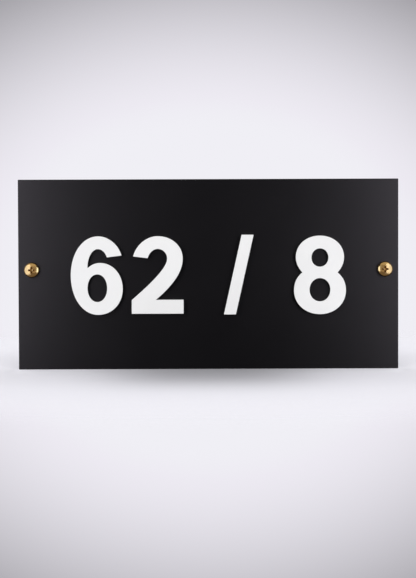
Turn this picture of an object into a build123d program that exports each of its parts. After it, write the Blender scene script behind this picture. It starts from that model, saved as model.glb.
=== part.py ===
from build123d import *
from math import cos, radians, sqrt, tan
import os

# Door name plate: a flat acrylic plate with raised numerals glued to it and two brass fixing screws.
# Sizes are millimetres. The origin is the centre of the plate's back face, which lies against the
# door or wall: +Y points into the wall, +Z is up, and the numerals face -Y.

# Plate
plate_width = 200.0
plate_height = 100.0
plate_thickness = 3.0
plate_edge_chamfer = 0.2

# Fixing screws: pan-head tapping screws with a cross recess
screw_inset = 7.0
screw_rise = 2.5
thread_diameter = 4.2
root_diameter = 3.1
hole_clearance = 0.3
screw_length = 25.0
point_length = 3.7
point_tip_diameter = 0.5
head_diameter = 8.0
head_height = 3.1
head_dome_radius = 6.5
head_rim_radius = 1.6
head_underside_chamfer = 0.15

# Cross recess in a screw's head
recess_span = 3.7
recess_depth = 2.3
recess_wing_width = 1.0
recess_core_diameter = 2.0
recess_half_angle = 26.5
recess_floor_angle = 20.0

# Numerals: a heavy upright sans-serif set, cut from sheet
numeral_height = 40.3
numeral_width = 27.3
numeral_thickness = 2.0
numeral_drop = 0.5
overshoot = 0.5
stem_width = 8.2
crown_width = 6.7
waist_width = 6.0
terminal_width = 7.7
terminal_slope = 7.0
terminal_lean = 15.0
oval_fullness = 0.57
free_pull = 0.8
digit_gap = 4.7
slash_gap = 21.2

# Six
six_bowl_drop = 14.0
six_stem_extra = 0.6
six_crown_x = 14.4
six_bowl_crown_x = 15.2
six_crotch_drop = 2.7
six_crotch_angle = 40.0
six_terminal_inset = 0.6
six_terminal_drop = 10.1

# Two
two_arch_inset = 0.4
two_arch_drop = 11.8
two_terminal_inset = 0.8
two_terminal_drop = 10.6
two_base_height = 7.3
two_diagonal_rise = 7.2
two_diagonal_angle = 40.5

# Eight
eight_upper_inset = 1.0
eight_waist_rise = 1.3
eight_notch_depth = 4.4
eight_notch_angle = 40.0

# Slash
slash_thickness = 6.3
slash_lean = 9.4
slash_rise = 0.6

# Shared places worked out from the sizes above
hole_diameter = thread_diameter + hole_clearance
screw_x = plate_width / 2 - screw_inset
glyph_top = numeral_height + overshoot
glyph_bottom = -overshoot


def toward(point, corner, share):
    """The point that lies a share of the way from a point to a corner."""
    return tuple(p + (c - p) * share for p, c in zip(point, corner))


def bend(start, corner, end, start_pull=oval_fullness, end_pull=oval_fullness):
    """A full-bodied curve that heads for the corner at both ends."""
    return Bezier(start, toward(start, corner, start_pull), toward(end, corner, end_pull), end)


def oval(left, right, bottom, top):
    """A closed oval that touches the given sides."""
    middle_x = (left + right) / 2
    middle_z = (bottom + top) / 2
    return Wire([
        bend((middle_x, bottom), (right, bottom), (right, middle_z)),
        bend((right, middle_z), (right, top), (middle_x, top)),
        bend((middle_x, top), (left, top), (left, middle_z)),
        bend((left, middle_z), (left, bottom), (middle_x, bottom)),
    ])


def hook(crown_x, outer_x, drop):
    """A stroke that curls over from its crown to a slanted terminal, from outside to inside."""
    crown_inside = glyph_top - crown_width
    side = 1 if outer_x > crown_x else -1
    outer_z = glyph_top - drop
    inner_x = outer_x - side * terminal_width
    inner_z = outer_z - terminal_width * tan(radians(terminal_slope))
    lean = side * tan(radians(terminal_lean))
    outer_corner = (outer_x - lean * (glyph_top - outer_z), glyph_top)
    inner_corner = (inner_x - lean * (crown_inside - inner_z), crown_inside)
    return [
        bend((crown_x, glyph_top), outer_corner, (outer_x, outer_z)),
        Line((outer_x, outer_z), (inner_x, inner_z)),
        bend((inner_x, inner_z), inner_corner, (crown_x, crown_inside)),
    ]


def six_outline():
    """A long stroke round the left side, a hook at its top, and a closed bowl."""
    right = numeral_width
    stem = stem_width + six_stem_extra
    crown_inside = glyph_top - crown_width
    equator_z = numeral_height / 2
    bowl_top = glyph_top - six_bowl_drop
    bowl_middle = (glyph_bottom + bowl_top) / 2
    crotch = (stem, bowl_top - six_crotch_drop)
    crotch_corner = (stem + six_crotch_drop / tan(radians(six_crotch_angle)), bowl_top)
    edge = [
        bend((six_crown_x, glyph_bottom), (0, glyph_bottom), (0, equator_z)),
        bend((0, equator_z), (0, glyph_top), (six_crown_x, glyph_top)),
        *hook(six_crown_x, right - six_terminal_inset, six_terminal_drop),
        bend((six_crown_x, crown_inside), (stem, crown_inside), crotch),
        bend(crotch, crotch_corner, (six_bowl_crown_x, bowl_top), end_pull=free_pull),
        bend((six_bowl_crown_x, bowl_top), (right, bowl_top), (right, bowl_middle)),
        bend((right, bowl_middle), (right, glyph_bottom), (six_crown_x, glyph_bottom)),
    ]
    counter = oval(stem, right - stem_width, glyph_bottom + crown_width, bowl_top - waist_width)
    return Face(Wire(edge), [counter])


def two_outline():
    """A hook and an arch that runs down a straight diagonal onto a flat base."""
    crown_x = numeral_width / 2
    crown_inside = glyph_top - crown_width
    arch_right = numeral_width - two_arch_inset
    arch_inside = arch_right - stem_width
    equator_z = glyph_top - two_arch_drop
    slope = radians(two_diagonal_angle)

    # The diagonal's upper edge rises from the left side, and its lower edge is one stem below it.
    upper_corner = (arch_inside, two_diagonal_rise + arch_inside * tan(slope))
    lower_rise = two_diagonal_rise - stem_width / cos(slope)
    lower_corner = (arch_right, lower_rise + arch_right * tan(slope))
    foot = ((two_base_height - lower_rise) / tan(slope), two_base_height)
    edge = [
        Line((0, 0), (numeral_width, 0)),
        Line((numeral_width, 0), (numeral_width, two_base_height)),
        Line((numeral_width, two_base_height), foot),
        bend(foot, lower_corner, (arch_right, equator_z), end_pull=free_pull),
        bend((arch_right, equator_z), (arch_right, glyph_top), (crown_x, glyph_top)),
        *hook(crown_x, two_terminal_inset, two_terminal_drop),
        bend((crown_x, crown_inside), (arch_inside, crown_inside), (arch_inside, equator_z)),
        bend((arch_inside, equator_z), upper_corner, (0, two_diagonal_rise), start_pull=free_pull),
        Line((0, two_diagonal_rise), (0, 0)),
    ]
    return Face(Wire(edge))


def eight_outline():
    """Two closed bowls, the upper one narrower, which share the stroke at the waist."""
    middle_x = numeral_width / 2
    waist_z = numeral_height / 2 + eight_waist_rise
    waist_bottom = waist_z - waist_width / 2
    waist_top = waist_z + waist_width / 2
    lower_middle = (glyph_bottom + waist_top) / 2
    upper_middle = (waist_bottom + glyph_top) / 2
    notch_climb = eight_notch_depth * tan(radians(eight_notch_angle))

    def half(side):
        lower_x = middle_x + side * middle_x
        upper_x = lower_x - side * eight_upper_inset
        notch = (lower_x - side * eight_notch_depth, waist_z)
        return [
            bend((middle_x, glyph_bottom), (lower_x, glyph_bottom), (lower_x, lower_middle)),
            bend((lower_x, lower_middle), (lower_x, waist_z - notch_climb), notch,
                 start_pull=free_pull),
            bend(notch, (upper_x, waist_z + notch_climb), (upper_x, upper_middle),
                 end_pull=free_pull),
            bend((upper_x, upper_middle), (upper_x, glyph_top), (middle_x, glyph_top)),
        ]

    upper_inside = eight_upper_inset + stem_width
    counters = [
        oval(stem_width, numeral_width - stem_width, glyph_bottom + crown_width, waist_bottom),
        oval(upper_inside, numeral_width - upper_inside, waist_top, glyph_top - crown_width),
    ]
    return Face(Wire(half(1) + half(-1)), counters)


def slash_outline():
    """A leaning bar that stands slightly taller than the digits."""
    slash_top = glyph_top + slash_rise
    return make_face(Polyline(
        (0, glyph_bottom),
        (slash_thickness, glyph_bottom),
        (slash_thickness + slash_lean, slash_top),
        (slash_lean, slash_top),
        close=True,
    ))


def raise_numeral(outline, left_x):
    """Cuts an outline from sheet and sets it on the plate with its left side at left_x."""
    baseline_z = -numeral_height / 2 - numeral_drop
    placed = Plane.XZ.offset(plate_thickness) * Pos(left_x, baseline_z) * outline
    return extrude(placed, numeral_thickness, dir=(0, -1, 0))


def make_plate():
    """The plate, with its edges eased and a clearance hole at each end."""
    blank = extrude(Plane.XZ * Rectangle(plate_width, plate_height), plate_thickness)
    blank = chamfer(blank.edges(), plate_edge_chamfer)
    holes = [Pos(side * screw_x, screw_rise) * Circle(hole_diameter / 2) for side in (-1, 1)]
    return blank - extrude(Plane.XZ * Sketch(children=holes), plate_thickness)


def head_profile():
    """Half the head's outline, from its underside at the neck to the top of its dome."""
    head_radius = head_diameter / 2
    dome_centre = (0, head_height - head_dome_radius)

    # The rim arc is tangent to the straight side and touches the dome arc from inside.
    rim_x = head_radius - head_rim_radius
    centre_gap = head_dome_radius - head_rim_radius
    rim_z = dome_centre[1] + sqrt(centre_gap ** 2 - rim_x ** 2)
    toward_rim = (rim_x / centre_gap, (rim_z - dome_centre[1]) / centre_gap)
    shoulder = (toward_rim[0] * head_dome_radius,
                dome_centre[1] + toward_rim[1] * head_dome_radius)
    seat_edge = (head_radius - head_underside_chamfer, 0)
    side_bottom = (head_radius, head_underside_chamfer)
    side_top = (head_radius, rim_z)
    return [
        Line((root_diameter / 2, 0), seat_edge),
        Line(seat_edge, side_bottom),
        Line(side_bottom, side_top),
        RadiusArc(side_top, shoulder, -head_rim_radius),
        RadiusArc(shoulder, (0, head_height), -head_dome_radius),
    ]


def make_recess():
    """The cross recess: two crossed wings that narrow with depth, and a tapered core."""
    slant = tan(radians(recess_half_angle))
    top_half = recess_span / 2
    floor_half = top_half - recess_depth * slant
    floor_drop = floor_half * tan(radians(recess_floor_angle))
    floor_z = head_height - recess_depth
    tip = (0, floor_z - floor_drop)
    wing_face = Plane.XZ * make_face(Polyline(
        (-top_half, head_height), (-floor_half, floor_z), tip,
        (floor_half, floor_z), (top_half, head_height), close=True,
    ))
    wing = extrude(wing_face, recess_wing_width / 2, both=True)
    core = revolve(Plane.XZ * make_face(Polyline(
        tip, (floor_half, floor_z), (recess_core_diameter / 2, head_height), (0, head_height),
        close=True,
    )), Axis.Z)
    return wing + Rot(0, 0, 90) * wing + core


def make_screw(side):
    """A screw in its hole: the neck spans the plate, and the thread starts at the wall."""
    root = root_diameter / 2
    crest = thread_diameter / 2
    point_start = -(screw_length - point_length)
    shank = Polyline(
        (0, head_height),
        (0, -screw_length),
        (point_tip_diameter / 2, -screw_length),
        (crest, point_start),
        (crest, -plate_thickness),
        (root, -plate_thickness),
        (root, 0),
    )
    turned = revolve(Plane.XZ * make_face([shank] + head_profile()), Axis.Z)
    screw = turned - make_recess()
    return Pos(side * screw_x, -plate_thickness, screw_rise) * Rot(90, 0, 0) * screw


def save(node, solid):
    """Writes one node's file."""
    solid.label = node
    export_step(solid, f"parts/{node}.step")


# The numerals stand in one centred line, with the slash midway between its neighbours.
slash_width = slash_thickness + slash_lean
line_width = 3 * numeral_width + digit_gap + 2 * slash_gap + slash_width
six_x = -line_width / 2
two_x = six_x + numeral_width + digit_gap
slash_x = two_x + numeral_width + slash_gap
eight_x = slash_x + slash_width + slash_gap

os.makedirs("parts", exist_ok=True)
save("plate", make_plate())
save("numeral_six", raise_numeral(six_outline(), six_x))
save("numeral_two", raise_numeral(two_outline(), two_x))
save("slash_bar", raise_numeral(slash_outline(), slash_x))
save("numeral_eight", raise_numeral(eight_outline(), eight_x))
save("screw_left", make_screw(-1))
save("screw_right", make_screw(1))
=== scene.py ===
"""Door name plate: finishes, threaded screws, floor, backdrop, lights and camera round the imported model.

Lengths are in metres unless a name says mm. The plate lies in the XZ plane and its numerals face -Y.
"""
from math import asin, cos, pi, radians, sin, tan

import bmesh
import bpy
from mathutils import Matrix, Vector


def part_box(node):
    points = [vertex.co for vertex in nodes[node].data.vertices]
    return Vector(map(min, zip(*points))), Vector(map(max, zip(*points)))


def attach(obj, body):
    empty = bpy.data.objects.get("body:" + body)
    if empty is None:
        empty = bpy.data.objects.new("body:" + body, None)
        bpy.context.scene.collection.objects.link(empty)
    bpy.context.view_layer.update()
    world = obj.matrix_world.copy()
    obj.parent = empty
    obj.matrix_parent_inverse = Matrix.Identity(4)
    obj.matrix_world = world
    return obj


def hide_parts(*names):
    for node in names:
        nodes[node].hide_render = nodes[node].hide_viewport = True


MM = 0.001

# Camera, at the photograph's scale and viewing angle
IMAGE_HEIGHT_PX = 578
SENSOR_MM = 36.0
SCALE_PX_PER_MM = 1.899
CAMERA_DISTANCE = 1.5
CAMERA_ELEVATION = radians(3.0)
CAMERA_ROLL = radians(0.2)
CAMERA_NEAR = 0.05
CAMERA_FAR = 20.0
AIM_X = -0.2 * MM
AIM_Z = -7.8 * MM

# Edges of the numerals
EDGE_EASE = 0.12 * MM
EASED_ANGLE = radians(50)
WELD_DISTANCE = 0.002 * MM

# Screws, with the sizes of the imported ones
HEAD_RADIUS = 4.0 * MM
HEAD_HEIGHT = 3.1 * MM
DOME_RADIUS = 6.5 * MM
RIM_RADIUS = 1.6 * MM
UNDERSIDE_BEVEL = 0.15 * MM
ROOT_RADIUS = 1.55 * MM
CREST_RADIUS = 2.1 * MM
PLATE_THICKNESS = 3.0 * MM
SCREW_LENGTH = 25.0 * MM
POINT_LENGTH = 3.7 * MM
TIP_RADIUS = 0.25 * MM
TIP_END_RADIUS = 0.15 * MM
TIP_END_LENGTH = 0.1 * MM

# Thread, which grows at its start and shrinks along the point
THREAD_PITCH = 1.41 * MM
THREAD_RUN_IN = 0.42 * MM
THREAD_RUN_OUT = 0.3 * MM
CREST_FLAT = 0.1 * MM
FLANK_HALF_ANGLE = radians(30)
FIRST_HEIGHT_SHARE = 0.05
HEIGHT_SHARE_PER_TURN = 2.2
HEIGHT_SHARE_LOST = 0.93

# Cross recess, which narrows with depth
RECESS_DEPTH = 2.3 * MM
RECESS_FLOOR_Z = HEAD_HEIGHT - RECESS_DEPTH
RECESS_HALF_ANGLE = radians(26.5)
RECESS_FLOOR_ANGLE = radians(20)
RECESS_HALF_SPAN = 1.85 * MM
RECESS_FLOOR_HALF_SPAN = RECESS_HALF_SPAN - RECESS_DEPTH * tan(RECESS_HALF_ANGLE)
RECESS_HALF_WIDTH = 0.5 * MM
RECESS_FLOOR_HALF_WIDTH = 0.45 * MM
RECESS_CORE_RADIUS = 1.0 * MM
RECESS_CORE_MARGIN = 0.02 * MM
CUTTER_OVERRUN = 0.5 * MM

# Fineness of the screws' mesh
TURN_STEPS = 96
DOME_STEPS = 16
DOME_TOP_ANGLE = radians(0.6)
RIM_STEPS = 12
CORE_STEPS = 4
SHARP_ANGLE = radians(35)
MERGE_DISTANCE = 0.003 * MM

# Acrylic, with how far a normal points along the sheet's thickness on its cut sides and on its faces
CUT_SIDE_NORMAL = 0.3
FACE_NORMAL = 0.8
ACRYLIC_IOR = 1.49
ACRYLIC_BUMP = 0.03 * MM

# Darker patches on a sheet's faces, between the noise where they start and where they are full
PATCH_NOISE = (0.3, 0.7)
PATCH_TONE = 0.96

# How far patches, grain and the cutter's marks spread the roughness
PATCH_ROUGHNESS = 0.08
GRAIN_ROUGHNESS = 0.04
MARK_ROUGHNESS = 0.2

# Brass, and its tarnish between the noise where it starts and where it is full
BRASS = (0.84, 0.55, 0.205)
TARNISHED_BRASS = (0.74, 0.46, 0.155)
TARNISH_NOISE = (0.35, 0.7)
BRASS_BUMP = 0.05 * MM
RING_HEIGHT_SHARE = 0.12

# Roughness of polished brass, and what rings, tarnish and the recess add at most
POLISHED_ROUGHNESS = 0.1
RING_ROUGHNESS = 0.1
TARNISH_ROUGHNESS = 0.1
RECESS_ROUGHNESS = 0.15

# Painted shade and rougher brass inside the recess, by the depth under the dome and the squared distance
# from the axis
PAINTED_SHADE_IN_RECESS = (0.42, 0.27, 0.10)
SHADE_AND_DULL_DEPTH_MM = (0.05, 0.6)
SHADE_AND_DULL_SQUARE_MM2 = (0.2, 0.9)
SHADE_AND_DULLNESS_ON_AXIS = 0.2
SHADE_AND_DULL_LOWEST_MM = 0.2
SHADE_AND_DULL_MARGIN_MM = 0.1

# Backdrop, by angles from its brightest direction, which is behind the plate
PALE = (0.871, 0.863, 0.913)
SHADED_PALE = (0.871, 0.848, 0.913)
SHADED_TONE = 0.97
DARKEST_TONE = 0.45
BRIGHTEST_BELOW_HORIZON = radians(2.7)
VIGNETTE_START = radians(2.9)
VIGNETTE_END = radians(9.3)
LOW_SHARE = 0.86
SIDE_SHARE = 0.78
LOW_SIDE_SHARE = 0.72
LOW_SIDE_ANGLE = radians(2.0)
SIDE_LIMIT = radians(3.5)

# Light from all round, and how far back a direction points as the dark room gives way to the backdrop
FILL = (0.60, 0.60, 0.61)
DARK_ROOM = (0.01, 0.01, 0.01)
MIRRORED_FADE = (0.0, 0.4)

# Floor
FLOOR_RADIUS = 0.45
FLOOR_SIDES = 96
FLOOR_FADE_START = 0.14
FLOOR_FADE_END = 0.34
FLOOR_TONE = 0.895

# Shade painted into the floor's colour at the plate's foot
POOL_DEPTH = 0.47
POOL_HALF_WIDTH_MM = 52.0
POOL_FRONT_MM = 109.0
POOL_BACK_MM = 60.0
POOL_STEEPNESS = 3.0

# Painted light on the floor in front of the plate's ends and painted shade just past them, which even out
# its tone there; each distance as the start and end of a fade
END_PAINTED_LIGHT = 0.12
END_PAINTED_LIGHT_ALONG_MM = (45.0, 75.0)
END_PAINTED_LIGHT_FRONT_MM = (-42.0, -4.0)
END_PAINTED_LIGHT_BACK_MM = (2.0, 22.0)
PAST_END_PAINTED_SHADE = 0.055
PAST_END_ALONG_MM = (98.0, 104.0)
PAST_END_BESIDE_MM = (0.0, 24.0)


def add(tree, kind, inputs=None, **settings):
    """Adds a shader node. Each input is a plain value or another node's output."""
    made = tree.nodes.new("ShaderNode" + kind)
    for name, value in settings.items():
        setattr(made, name, value)
    for key, value in (inputs or {}).items():
        if isinstance(value, bpy.types.NodeSocket):
            tree.links.new(value, made.inputs[key])
        else:
            made.inputs[key].default_value = value
    return made


def compute(tree, operation, *values):
    """The output of a maths node."""
    return add(tree, "Math", dict(enumerate(values)), operation=operation).outputs[0]


def product(tree, first, *others):
    """The product of any number of values."""
    for other in others:
        first = compute(tree, "MULTIPLY", first, other)
    return first


def sum_of_squares(tree, first, second):
    """The sum of two values' squares."""
    return compute(tree, "MULTIPLY_ADD", first, first, compute(tree, "MULTIPLY", second, second))


def varied(tree, base, *patterns):
    """A base value plus some patterns, each times its own amount."""
    for pattern, amount in patterns:
        base = compute(tree, "MULTIPLY_ADD", pattern, amount, base)
    return base


def remap(tree, value, low, high, to_low=0.0, to_high=1.0, shape="LINEAR"):
    """The value moved from one range to another, and held at its ends."""
    inputs = {"Value": value, "From Min": low, "From Max": high, "To Min": to_low, "To Max": to_high}
    return add(tree, "MapRange", inputs, interpolation_type=shape).outputs[0]


def fade(tree, value, low, high, to_low=0.0, to_high=1.0):
    """The value moved from one range to another, with soft ends."""
    return remap(tree, value, low, high, to_low, to_high, "SMOOTHSTEP")


def scaled(tree, vector, factor):
    """The vector or colour multiplied by one factor."""
    return add(tree, "VectorMath", {0: vector, "Scale": factor}, operation="SCALE").outputs[0]


def stretched(tree, vector, factors):
    """The vector with each axis multiplied by its own factor."""
    return add(tree, "VectorMath", {0: vector, 1: factors}, operation="MULTIPLY").outputs[0]


def blend(tree, factor, first, second):
    """A mix of two values."""
    return add(tree, "Mix", {"Factor": factor, 2: first, 3: second}, data_type="FLOAT").outputs[0]


def blend_colours(tree, factor, first, second):
    """A mix of two colours."""
    mix = add(tree, "Mix", {"Factor": factor}, data_type="RGBA")
    for socket, colour in zip((mix.inputs[6], mix.inputs[7]), (first, second)):
        if isinstance(colour, bpy.types.NodeSocket):
            tree.links.new(colour, socket)
        else:
            socket.default_value = (*colour, 1)
    return mix.outputs[2]


def noise(tree, vector, scale, detail=2.0, roughness=0.5):
    """Smooth noise between 0 and 1, with a scale in waves for each unit of the vector."""
    inputs = {"Vector": vector, "Scale": scale, "Detail": detail, "Roughness": roughness}
    return add(tree, "TexNoise", inputs).outputs[0]


def position_mm(tree):
    """The surface point in the piece's own frame, in millimetres."""
    return scaled(tree, add(tree, "TexCoord").outputs["Object"], 1 / MM)


def new_material(name):
    """An empty node material, its node tree and its output node."""
    material = bpy.data.materials.new(name)
    material.use_nodes = True
    tree = material.node_tree
    tree.nodes.clear()
    return material, tree, add(tree, "OutputMaterial")


def cut_side_mask(tree):
    """1 on a sheet's cut sides and 0 on its two faces."""
    normal = add(tree, "TexCoord").outputs["Normal"]
    across = add(tree, "SeparateXYZ", {0: normal}).outputs[1]
    return remap(tree, compute(tree, "ABSOLUTE", across), CUT_SIDE_NORMAL, FACE_NORMAL, 1.0, 0.0)


def sheet_acrylic(name, colour, side_colour, roughness, side_roughness, grain):
    """Acrylic sheet: a fine even grain on the faces, and cut marks across the sides."""
    material, tree, output = new_material(name)
    place = position_mm(tree)
    side = cut_side_mask(tree)

    # The faces: a fine grain, and broad patches that are slightly more or less polished
    fine = noise(tree, place, scale=4.0, detail=3.0)
    broad = noise(tree, place, scale=0.035)
    face_rough = varied(tree, roughness - PATCH_ROUGHNESS / 2,
                        (broad, PATCH_ROUGHNESS), (fine, GRAIN_ROUGHNESS))
    darker = tuple(PATCH_TONE * channel for channel in colour)
    face_colour = blend_colours(tree, remap(tree, broad, *PATCH_NOISE), colour, darker)

    # The sides: fine lines left by the cutter, which run through the sheet
    marks = noise(tree, stretched(tree, place, (1.0, 0.06, 1.0)), scale=3.2, detail=4.0, roughness=0.6)
    side_rough = varied(tree, side_roughness - MARK_ROUGHNESS / 2, (marks, MARK_ROUGHNESS))

    height = blend(tree, side, product(tree, fine, grain), marks)
    bump = add(tree, "Bump", {"Strength": 0.35, "Distance": ACRYLIC_BUMP, "Height": height})
    shader = add(tree, "BsdfPrincipled", {
        "Base Color": blend_colours(tree, side, face_colour, side_colour),
        "Roughness": blend(tree, side, face_rough, side_rough),
        "IOR": ACRYLIC_IOR,
        "Normal": bump.outputs[0],
    })
    tree.links.new(shader.outputs[0], output.inputs[0])
    return material, shader


def black_acrylic():
    """The plate's satin black sheet."""
    return sheet_acrylic(
        "satin_black_acrylic",
        colour=(0.0009, 0.0006, 0.0014),
        side_colour=(0.002, 0.002, 0.002),
        roughness=0.45,
        side_roughness=0.6,
        grain=1.6,
    )[0]


def white_acrylic():
    """The numerals' smooth white sheet, which takes a little light inside."""
    material, shader = sheet_acrylic(
        "white_acrylic",
        colour=(0.88, 0.88, 0.87),
        side_colour=(0.82, 0.82, 0.80),
        roughness=0.28,
        side_roughness=0.4,
        grain=0.15,
    )
    shader.inputs["Subsurface Weight"].default_value = 0.08
    shader.inputs["Subsurface Radius"].default_value = (1.0, 1.0, 0.95)
    shader.inputs["Subsurface Scale"].default_value = 0.8 * MM
    return material


def recess_mask(tree, square, height):
    """0 on the head's dome, and rising to 1 down in the wings of its recess, where the brass gets painted
    shade and more roughness.

    It goes by a point's squared distance from the screw's axis and its height, both in mm.
    """
    dome_rise = compute(tree, "SQRT", compute(tree, "SUBTRACT", (DOME_RADIUS / MM) ** 2, square))
    dome = compute(tree, "ADD", dome_rise, (HEAD_HEIGHT - DOME_RADIUS) / MM)
    deep = remap(tree, compute(tree, "SUBTRACT", dome, height), *SHADE_AND_DULL_DEPTH_MM)
    off_axis = remap(tree, square, *SHADE_AND_DULL_SQUARE_MM2, SHADE_AND_DULLNESS_ON_AXIS, 1.0)
    in_span = compute(tree, "LESS_THAN", square, (RECESS_HALF_SPAN / MM + SHADE_AND_DULL_MARGIN_MM) ** 2)
    in_head = compute(tree, "GREATER_THAN", height, SHADE_AND_DULL_LOWEST_MM)
    return product(tree, deep, off_axis, in_span, in_head)


def turned_brass():
    """Bright brass with fine rings round the screw's axis, shallow dents, a little tarnish and painted shade
    down in the recess.
    """
    material, tree, output = new_material("turned_brass")
    place = position_mm(tree)
    x, y, z = add(tree, "SeparateXYZ", {0: place}).outputs
    square = sum_of_squares(tree, x, y)
    ring_place = add(tree, "CombineXYZ", {0: compute(tree, "SQRT", square), 2: z}).outputs[0]
    rings = noise(tree, ring_place, scale=9.0, detail=4.0, roughness=0.65)
    tarnish = noise(tree, place, scale=0.9, detail=3.0, roughness=0.6)
    dents = noise(tree, place, scale=2.0)
    recess = recess_mask(tree, square, z)

    metal = blend_colours(tree, remap(tree, tarnish, *TARNISH_NOISE), BRASS, TARNISHED_BRASS)
    roughness = varied(tree, POLISHED_ROUGHNESS, (rings, RING_ROUGHNESS),
                       (tarnish, TARNISH_ROUGHNESS), (recess, RECESS_ROUGHNESS))
    height = varied(tree, dents, (rings, RING_HEIGHT_SHARE))
    bump = add(tree, "Bump", {"Strength": 0.5, "Distance": BRASS_BUMP, "Height": height})
    shader = add(tree, "BsdfPrincipled", {
        # The recess is painted a darker brass, as shade
        "Base Color": blend_colours(tree, recess, metal, PAINTED_SHADE_IN_RECESS),
        "Metallic": 1.0,
        "Roughness": roughness,
        "Normal": bump.outputs[0],
    })
    tree.links.new(shader.outputs[0], output.inputs[0])
    return material


def link_object(name, data):
    """A new object in the scene."""
    made = bpy.data.objects.new(name, data)
    bpy.context.scene.collection.objects.link(made)
    return made


def link_mesh(name, mesh):
    """A new object in the scene, from a closed bmesh."""
    bmesh.ops.recalc_face_normals(mesh, faces=mesh.faces)
    data = bpy.data.meshes.new(name)
    mesh.to_mesh(data)
    mesh.free()
    return link_object(name, data)


def add_vertices(mesh, rows):
    """Vertices for rows of points."""
    return [[mesh.verts.new(point) for point in row] for row in rows]


def join_rings(mesh, rings):
    """Faces between rings of vertices, each as long as the next."""
    for upper, lower in zip(rings, rings[1:]):
        for i in range(len(upper)):
            j = (i + 1) % len(upper)
            mesh.faces.new((upper[i], upper[j], lower[j], lower[i]))


def circles(profile):
    """Rings of points round the screw's axis, one for each point of an outline.

    An outline's point is its distance from the axis and its height. The rings run the way that the thread
    does on its way down.
    """
    angles = [-2 * pi * i / TURN_STEPS for i in range(TURN_STEPS)]
    return [[(radius * cos(a), radius * sin(a), z) for a in angles] for radius, z in profile]


def arc_points(centre, radius, start, end, steps):
    """Points of an outline along an arc, its angles measured from the axis."""
    angles = [start + (end - start) * i / steps for i in range(steps + 1)]
    return [(centre[0] + radius * sin(a), centre[1] + radius * cos(a)) for a in angles]


def head_profile():
    """Outline of the head and the neck, down to the plate's back."""
    rim_x = HEAD_RADIUS - RIM_RADIUS
    gap = DOME_RADIUS - RIM_RADIUS
    dome_z = HEAD_HEIGHT - DOME_RADIUS
    shoulder = asin(rim_x / gap)
    rim_z = dome_z + gap * cos(shoulder)
    dome = arc_points((0, dome_z), DOME_RADIUS, DOME_TOP_ANGLE, shoulder, DOME_STEPS)
    rim = arc_points((rim_x, rim_z), RIM_RADIUS, shoulder, pi / 2, RIM_STEPS)
    return dome + rim[1:] + [
        (HEAD_RADIUS, UNDERSIDE_BEVEL),
        (HEAD_RADIUS - UNDERSIDE_BEVEL, 0),
        (ROOT_RADIUS, 0),
        (ROOT_RADIUS, -PLATE_THICKNESS),
    ]


def along_point(z):
    """0 on the shank, and rising to 1 at the end of the screw's point."""
    return max(0.0, (POINT_LENGTH - SCREW_LENGTH - z) / POINT_LENGTH)


def core_radius(z):
    """The screw's radius between its threads."""
    return ROOT_RADIUS + (TIP_RADIUS - ROOT_RADIUS) * along_point(z)


def tip_profile():
    """Outline of the screw's blunt end."""
    start_z = TIP_END_LENGTH - SCREW_LENGTH
    return [(core_radius(start_z), start_z), (TIP_END_RADIUS, -SCREW_LENGTH)]


def thread_rows():
    """Sections of the helical ridge: its upper root, its crest's two edges and its lower root."""
    start_z = -PLATE_THICKNESS - THREAD_RUN_IN
    turns = (start_z + SCREW_LENGTH - THREAD_RUN_OUT) / THREAD_PITCH
    rows = []
    for i in range(int(turns * TURN_STEPS) + 1):
        turn = i / TURN_STEPS
        angle = -2 * pi * turn
        z = start_z - turn * THREAD_PITCH
        grown = min(1.0, FIRST_HEIGHT_SHARE + HEIGHT_SHARE_PER_TURN * turn)
        remaining = 1 - HEIGHT_SHARE_LOST * along_point(z)
        height = (CREST_RADIUS - ROOT_RADIUS) * remaining * grown
        half_root = CREST_FLAT / 2 + height * tan(FLANK_HALF_ANGLE)
        section = [
            (core_radius(z + half_root), half_root),
            (core_radius(z) + height, CREST_FLAT / 2),
            (core_radius(z) + height, -CREST_FLAT / 2),
            (core_radius(z - half_root), -half_root),
        ]
        rows.append([(r * cos(angle), r * sin(angle), z + offset) for r, offset in section])
    return rows


def join_thread(mesh, neck, rows, tip):
    """Faces along the ridge and between its turns, up to the neck's ring and down to the tip's."""
    last = len(rows) - 1
    first_free = last - TURN_STEPS
    upper = [row[0] for row in rows]
    lower = [row[-1] for row in rows]

    # The ridge's two flanks and its crest
    for row, following in zip(rows, rows[1:]):
        for corners in zip(row, following, following[1:], row[1:]):
            mesh.faces.new(corners)

    # The core between one turn and the next
    for i in range(first_free):
        j = i + TURN_STEPS
        mesh.faces.new((lower[i], lower[i + 1], upper[j + 1], upper[j]))

    # The core above the first turn, with one face that closes it at the thread's start
    for i in range(TURN_STEPS - 1):
        mesh.faces.new((neck[i], neck[i + 1], upper[i + 1], upper[i]))
    mesh.faces.new((neck[-1], neck[0], *rows[0], upper[TURN_STEPS], upper[TURN_STEPS - 1]))

    # The core below the last turn, with one face that closes it at the thread's end
    for i in range(first_free + 1, last):
        mesh.faces.new((lower[i], lower[i + 1], tip[(i + 1) % TURN_STEPS], tip[i % TURN_STEPS]))
    mesh.faces.new((lower[first_free + 1], lower[first_free], *rows[last],
                    tip[last % TURN_STEPS], tip[(first_free + 1) % TURN_STEPS]))


def turned_screw():
    """The screw without its recess, as one closed mesh."""
    mesh = bmesh.new()
    head = add_vertices(mesh, circles(head_profile()))
    tip = add_vertices(mesh, circles(tip_profile()))
    rows = add_vertices(mesh, thread_rows())
    join_rings(mesh, head)
    join_thread(mesh, head[-1], rows, tip[0])
    join_rings(mesh, tip)
    mesh.faces.new(head[0])
    mesh.faces.new(tip[-1])
    return link_mesh("turned_screw", mesh)


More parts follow.
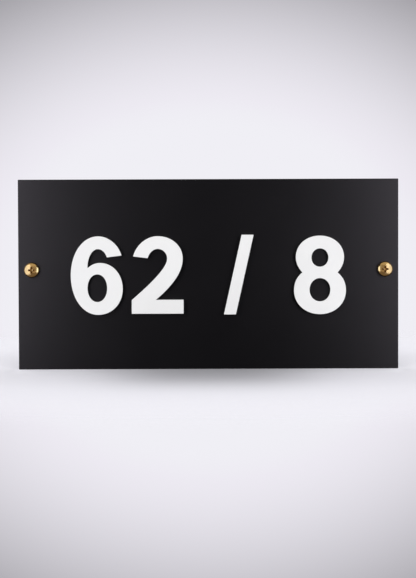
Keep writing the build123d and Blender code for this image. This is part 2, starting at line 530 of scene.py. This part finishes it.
def recess_section(z):
    """The cross's outline at a height: four wings, with the core's arcs between them."""
    above_floor = z - RECESS_FLOOR_Z
    share = above_floor / RECESS_DEPTH
    span = RECESS_FLOOR_HALF_SPAN + above_floor * tan(RECESS_HALF_ANGLE)
    core_growth = RECESS_CORE_RADIUS - RECESS_FLOOR_HALF_SPAN
    core = RECESS_FLOOR_HALF_SPAN + RECESS_CORE_MARGIN + core_growth * share
    width = RECESS_FLOOR_HALF_WIDTH + (RECESS_HALF_WIDTH - RECESS_FLOOR_HALF_WIDTH) * share
    corner = asin(width / core)
    angles = [corner + (pi / 2 - 2 * corner) * k / CORE_STEPS for k in range(CORE_STEPS + 1)]
    core_arc = [(core * cos(a), core * sin(a)) for a in angles]
    wing_to_wing = [(span, width), *core_arc, (width, span)]
    points = []
    for quarter in range(4):
        c, s = cos(quarter * pi / 2), sin(quarter * pi / 2)
        points += [(x * c - y * s, x * s + y * c, z) for x, y in wing_to_wing]
    return points


def recess_cutter():
    """The cross recess as a solid, from above the head down to its tip."""
    levels = (HEAD_HEIGHT + CUTTER_OVERRUN, HEAD_HEIGHT, RECESS_FLOOR_Z)
    mesh = bmesh.new()
    rings = add_vertices(mesh, [recess_section(z) for z in levels])
    join_rings(mesh, rings)
    mesh.faces.new(rings[0])
    tip = mesh.verts.new((0, 0, RECESS_FLOOR_Z - RECESS_FLOOR_HALF_SPAN * tan(RECESS_FLOOR_ANGLE)))
    floor = rings[-1]
    for i in range(len(floor)):
        mesh.faces.new((floor[i - 1], floor[i], tip))
    return link_mesh("recess_cutter", mesh)


def soften(data):
    """Joins points that nearly meet, and shades the mesh smoothly apart from its sharp edges."""
    mesh = bmesh.new()
    mesh.from_mesh(data)
    bmesh.ops.remove_doubles(mesh, verts=mesh.verts, dist=MERGE_DISTANCE)
    for face in mesh.faces:
        face.smooth = True
    for edge in mesh.edges:
        edge.smooth = len(edge.link_faces) == 2 and edge.calc_face_angle() < SHARP_ANGLE
    mesh.to_mesh(data)
    mesh.free()


def make_screw_mesh(material):
    """One screw, with its cross recess cut out."""
    screw, cutter = turned_screw(), recess_cutter()
    cut = screw.modifiers.new("recess", "BOOLEAN")
    cut.operation = "DIFFERENCE"
    cut.solver = "EXACT"
    cut.object = cutter
    bpy.context.view_layer.update()
    evaluated = screw.evaluated_get(bpy.context.evaluated_depsgraph_get())
    data = bpy.data.meshes.new_from_object(evaluated)
    data.name = "threaded_screw"
    for helper in (screw, cutter):
        bpy.data.objects.remove(helper)
    soften(data)
    data.materials.clear()
    data.materials.append(material)
    return data


def place_screw(name, node, data):
    """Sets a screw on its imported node's axis, with its head's underside on the plate's face."""
    low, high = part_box(node)
    screw = link_object(name, data)
    seat = ((low.x + high.x) / 2, high.y - SCREW_LENGTH, (low.z + high.z) / 2)
    screw.matrix_world = Matrix.Translation(seat) @ Matrix.Rotation(pi / 2, 4, "X")
    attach(screw, "root")
    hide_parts(node)
    return screw


def dress(node, material):
    """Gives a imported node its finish."""
    node.data.materials.clear()
    node.data.materials.append(material)


def ease_edges(node):
    """Takes the sharpness off a cut sheet's edges."""
    weld = node.modifiers.new("weld", "WELD")
    weld.merge_threshold = WELD_DISTANCE
    bevel = node.modifiers.new("eased_edges", "BEVEL")
    bevel.width = EDGE_EASE
    bevel.segments = 2
    bevel.limit_method = "ANGLE"
    bevel.angle_limit = EASED_ANGLE
    bevel.harden_normals = True


def backdrop_tone(tree, x, y, z):
    """How bright the backdrop is in a direction: brightest behind the plate, and darker away from there.

    An angle upwards counts in full, and one downwards or sideways by a smaller share.
    """
    level = compute(tree, "ADD", compute(tree, "ARCSINE", z), BRIGHTEST_BELOW_HORIZON)
    above = compute(tree, "MAXIMUM", level, 0.0)
    rise = varied(tree, above, (compute(tree, "MINIMUM", level, 0.0), LOW_SHARE))
    azimuth = compute(tree, "ABSOLUTE", compute(tree, "ARCTAN2", x, compute(tree, "ABSOLUTE", y)))
    side_share = remap(tree, level, -LOW_SIDE_ANGLE, 0.0, LOW_SIDE_SHARE, SIDE_SHARE)
    side = compute(tree, "MINIMUM", product(tree, azimuth, side_share), SIDE_LIMIT)
    away = compute(tree, "SQRT", sum_of_squares(tree, rise, side))
    tone = fade(tree, away, VIGNETTE_START, VIGNETTE_END, 1.0, 0.0)
    return compute(tree, "MAXIMUM", tone, DARKEST_TONE)


def make_world():
    """A pale backdrop with a soft vignette for what the camera and metal see, and even fill light."""
    world = bpy.data.worlds.new("studio")
    bpy.context.scene.world = world
    world.use_nodes = True
    tree = world.node_tree
    tree.nodes.clear()
    output = add(tree, "OutputWorld")
    x, y, z = add(tree, "SeparateXYZ", {0: add(tree, "TexCoord").outputs["Generated"]}).outputs
    tone = backdrop_tone(tree, x, y, z)
    pale = blend_colours(tree, remap(tree, tone, SHADED_TONE, 1.0), SHADED_PALE, PALE)
    seen = scaled(tree, pale, tone)

    # Metal and gloss see the pale backdrop behind the plate and the dark room in front of it
    mirrored = blend_colours(tree, fade(tree, y, *MIRRORED_FADE), DARK_ROOM, seen)

    path = add(tree, "LightPath").outputs
    direct = compute(tree, "MAXIMUM", path["Is Camera Ray"], path["Is Transmission Ray"])
    indirect = blend_colours(tree, path["Is Glossy Ray"], FILL, mirrored)
    background = add(tree, "Background", {"Color": blend_colours(tree, direct, indirect, seen)})
    tree.links.new(background.outputs[0], output.inputs[0])


def pool_of_shade(tree, x, y):
    """How deep the painted shade on the floor is: 1 at the middle of the plate's foot, and fading out round
    it.
    """
    across = compute(tree, "DIVIDE", compute(tree, "ABSOLUTE", x), POOL_HALF_WIDTH_MM)
    reach = compute(tree, "MAXIMUM", compute(tree, "DIVIDE", y, POOL_BACK_MM),
                    compute(tree, "DIVIDE", y, -POOL_FRONT_MM))
    away = compute(tree, "ADD", compute(tree, "POWER", across, POOL_STEEPNESS),
                   compute(tree, "POWER", reach, POOL_STEEPNESS))
    return compute(tree, "EXPONENT", product(tree, away, -1.0))


def painted_light_and_shade_at_ends(tree, x, y):
    """Painted light that the floor's tone gains in front of the plate's ends, and painted shade that it
    loses just past them.
    """
    along = compute(tree, "ABSOLUTE", x)
    past_end = fade(tree, along, *PAST_END_ALONG_MM)
    beside = fade(tree, compute(tree, "ABSOLUTE", y), *PAST_END_BESIDE_MM, PAST_END_PAINTED_SHADE, 0.0)
    painted_light = product(
        tree,
        fade(tree, along, *END_PAINTED_LIGHT_ALONG_MM),
        fade(tree, y, *END_PAINTED_LIGHT_FRONT_MM, 0.0, END_PAINTED_LIGHT),
        fade(tree, y, *END_PAINTED_LIGHT_BACK_MM, 1.0, 0.0),
        compute(tree, "SUBTRACT", 1.0, past_end),
    )
    return compute(tree, "SUBTRACT", painted_light, product(tree, past_end, beside))


def floor_material():
    """Pale matt floor: a soft pool of shade painted into its colour at the plate's foot, painted light and
    shade by the plate's ends, and edges that fade into the backdrop.
    """
    material, tree, output = new_material("pale_floor")
    place = position_mm(tree)
    x, y = add(tree, "SeparateXYZ", {0: place}).outputs[:2]
    # The floor's colour is darkened by a painted pool of shade at the plate's foot
    tone = varied(tree, 1.0, (pool_of_shade(tree, x, y), -POOL_DEPTH))
    # The floor's tone also takes painted light in front of the plate's ends and painted shade just past them
    tone = compute(tree, "ADD", tone, painted_light_and_shade_at_ends(tree, x, y))
    base = tuple(FLOOR_TONE * channel for channel in PALE)
    matt = add(tree, "BsdfDiffuse", {"Color": scaled(tree, base, tone)})
    clear = add(tree, "BsdfTransparent")
    distance = add(tree, "VectorMath", {0: place}, operation="LENGTH").outputs["Value"]
    edge = fade(tree, distance, FLOOR_FADE_START / MM, FLOOR_FADE_END / MM)
    mix = add(tree, "MixShader", {0: edge, 1: matt.outputs[0], 2: clear.outputs[0]})
    tree.links.new(mix.outputs[0], output.inputs[0])
    return material


def make_floor(level):
    """A round floor that the plate stands on. It isn't mirrored in the plate or the brass."""
    mesh = bmesh.new()
    bmesh.ops.create_circle(mesh, cap_ends=True, segments=FLOOR_SIDES, radius=FLOOR_RADIUS)
    data = bpy.data.meshes.new("floor")
    mesh.to_mesh(data)
    mesh.free()
    data.materials.append(floor_material())
    floor = link_object("floor", data)
    floor.location.z = level
    floor.visible_glossy = False


def softbox(name, centre, facing, size, radiance, colour=(1, 1, 1), lit=None):
    """A rectangular lamp of even radiance, for matt surfaces, or for the gloss alone of what lit holds."""
    width, height = size
    lamp = bpy.data.lights.new(name, "AREA")
    lamp.shape = "RECTANGLE"
    lamp.color = colour
    lamp.size = width
    lamp.size_y = height
    lamp.energy = radiance * pi * width * height
    holder = link_object(name, lamp)
    holder.location = centre
    holder.rotation_mode = "QUATERNION"
    holder.rotation_quaternion = Vector(facing).to_track_quat("-Z", "Y")
    holder.visible_camera = False
    holder.visible_glossy = lit is not None
    holder.visible_diffuse = lit is None
    if lit:
        holder.light_linking.receiver_collection = lit


def softbox_pair(name, centre, facing, size, radiance, colour, lit_left, lit_right):
    """A softbox at the plate's right end, and its mirror image at the left end."""
    for side, end, lit in ((-1, "left", lit_left), (1, "right", lit_right)):
        softbox(
            f"{name}_{end}",
            centre=(side * centre[0], *centre[1:]),
            facing=(side * facing[0], *facing[1:]),
            size=size,
            radiance=radiance,
            colour=colour,
            lit=lit,
        )


def group(name, pieces):
    """A collection that a lamp can be limited to."""
    made = bpy.data.collections.new(name)
    for piece in pieces:
        made.objects.link(piece)
    return made


def light_room():
    """A large key from above the camera, and a low lamp behind the plate for the floor."""
    softbox("key", centre=(0, -1.1, 0.8), facing=(0, 1.1, -0.8), size=(1.2, 0.8),
            radiance=3.8)
    softbox("floor_lamp", centre=(0, 0.26, 0.26), facing=(0, -0.36, -0.31), size=(1.5, 0.2),
            radiance=1.4)


def light_sheets(sheets):
    """Panels past the plate's ends, in front of it and behind it, which show as a sheen towards the ends."""
    alike = {
        "size": (0.242, 0.315),
        "colour": (1.005, 0.943, 1.062),
        "lit_left": sheets,
        "lit_right": sheets,
    }
    softbox_pair("front_panel", centre=(0.25, -0.21, 0.088), facing=(0.1, 0.22, 0), radiance=5.4, **alike)
    softbox_pair("back_panel", centre=(0.25, 0.21, 0.088), facing=(0.1, -0.22, 0), radiance=4.0, **alike)


def light_screws(screws):
    """A panel on each side of each head, and wide panels in front, above and below."""
    left, right = (group(name, [screw]) for name, screw in zip(("left_screw", "right_screw"), screws))
    both = group("screws", screws)
    softbox_pair("near_panel", centre=(0.255, -0.105, 0.03), facing=(-1, 1, 0), size=(0.297, 0.38),
                 radiance=1.2, colour=(0.86, 1.0, 1.55), lit_left=left, lit_right=right)
    softbox_pair("far_panel", centre=(0.255, -0.105, 0.01), facing=(-1, 1, 0), size=(0.297, 0.27),
                 radiance=2.1, colour=(0.82, 1.0, 1.5), lit_left=right, lit_right=left)
    softbox("screw_front", centre=(0, -1.2, 0.25), facing=(0, 1, 0), size=(2.4, 1.6),
            radiance=0.3, colour=(1.0, 0.9, 0.85), lit=both)
    softbox("screw_ceiling", centre=(0, -0.3, 1.0), facing=(0, 0.3, -1), size=(2.0, 1.4),
            radiance=0.5, colour=(1.0, 0.95, 0.9), lit=both)
    softbox("screw_bounce", centre=(0, -0.25, -0.2), facing=(0, 0.3, 1), size=(1.0, 0.5),
            radiance=0.17, colour=(1.0, 0.85, 0.8), lit=both)


def make_camera(face_y):
    """The camera, square on to the plate and a little above it."""
    data = bpy.data.cameras.new("camera")
    data.sensor_width = SENSOR_MM
    view_height_mm = IMAGE_HEIGHT_PX / SCALE_PX_PER_MM
    data.lens = SENSOR_MM * CAMERA_DISTANCE / (view_height_mm * MM)
    data.clip_start = CAMERA_NEAR
    data.clip_end = CAMERA_FAR
    camera = link_object("camera", data)
    back = Vector((0, -cos(CAMERA_ELEVATION), sin(CAMERA_ELEVATION)))
    aim = Vector((AIM_X, face_y, AIM_Z))
    turn = (-back).to_track_quat("-Z", "Y").to_matrix().to_4x4()
    roll = Matrix.Rotation(-CAMERA_ROLL, 4, "Z")
    camera.matrix_world = Matrix.Translation(aim + back * CAMERA_DISTANCE) @ turn @ roll
    bpy.context.scene.camera = camera


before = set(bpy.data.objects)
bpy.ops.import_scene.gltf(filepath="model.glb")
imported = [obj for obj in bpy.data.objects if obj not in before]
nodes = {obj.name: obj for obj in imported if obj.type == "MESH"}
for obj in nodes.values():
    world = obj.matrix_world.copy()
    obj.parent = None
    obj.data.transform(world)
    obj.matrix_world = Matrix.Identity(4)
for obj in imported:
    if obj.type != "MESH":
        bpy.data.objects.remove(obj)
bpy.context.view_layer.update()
plate_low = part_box("plate")[0]

dress(nodes["plate"], black_acrylic())
white = white_acrylic()
numerals = [nodes[name] for name in ("numeral_six", "numeral_two", "slash_bar", "numeral_eight")]
for numeral in numerals:
    dress(numeral, white)
    ease_edges(numeral)

screw_mesh = make_screw_mesh(turned_brass())
screws = [
    place_screw("threaded_screw_left", "screw_left", screw_mesh),
    place_screw("threaded_screw_right", "screw_right", screw_mesh.copy()),
]

make_floor(plate_low.z)
make_world()
light_room()
light_sheets(group("sheets", [nodes["plate"], *numerals]))
light_screws(screws)
make_camera(plate_low.y)
bpy.context.scene.view_settings.view_transform = "Standard"
